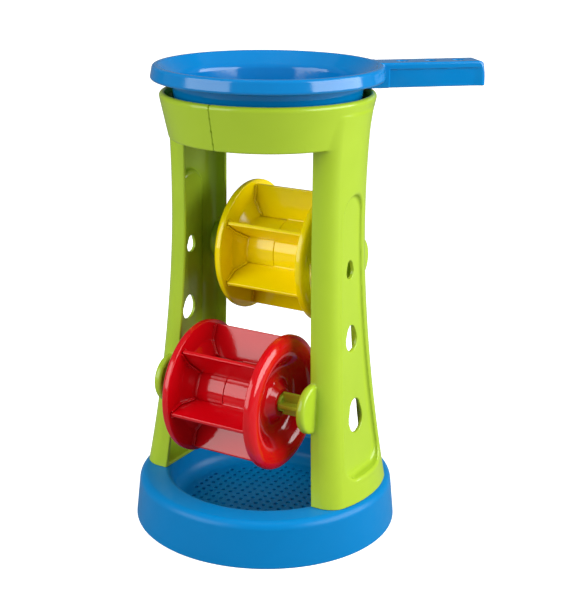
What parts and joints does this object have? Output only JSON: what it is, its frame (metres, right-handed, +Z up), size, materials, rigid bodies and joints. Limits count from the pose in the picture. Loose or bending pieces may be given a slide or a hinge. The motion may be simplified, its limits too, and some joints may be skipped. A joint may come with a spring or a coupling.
{
  "type": "sand and water mill",
  "caption": "Sand and water toy: round sieve tray, two-leg tower with two free-turning bucket wheels, and a lift-out sieve pan with a flat handle.",
  "frame": {"origin": "centre of the base's underside, on the ground", "axes": "+Z up; the two legs stand on the X axis, the right one at +X; -Y is the front, where the lower wheel hangs; both wheels turn about axes parallel to X"},
  "size_m": [0.1891, 0.1829, 0.294],
  "materials": {
    "base_plastic": "glossy moulded plastic",
    "tower_plastic": "glossy moulded plastic",
    "upper_wheel_plastic": "glossy moulded plastic",
    "lower_wheel_plastic": "glossy moulded plastic",
    "pan_plastic": "glossy moulded plastic"
  },
  "bodies": {
    "tower": {"base_tray": "base_plastic", "tower_half_right": "tower_plastic", "tower_half_left": "tower_plastic"},
    "upper_wheel": {"upper_wheel_left_cheek": "upper_wheel_plastic", "upper_wheel_right_cheek": "upper_wheel_plastic"},
    "lower_wheel": {"lower_wheel_left_cheek": "lower_wheel_plastic", "lower_wheel_right_cheek": "lower_wheel_plastic"},
    "pan": {"pan": "pan_plastic"}
  },
  "joints": [
    {"name": "upper_wheel_spin", "type": "hinge", "parent": "tower", "child": "upper_wheel", "pos_m": [0, 0.03, 0.17149], "axis": [1, 0, 0], "continuous": true},
    {"name": "lower_wheel_spin", "type": "hinge", "parent": "tower", "child": "lower_wheel", "pos_m": [0, -0.03, 0.09171], "axis": [1, 0, 0], "continuous": true},
    {"name": "pan_lift", "type": "slide", "parent": "tower", "child": "pan", "axis": [0, 0, 1], "range_m": [0, 0.06]}
  ]
}
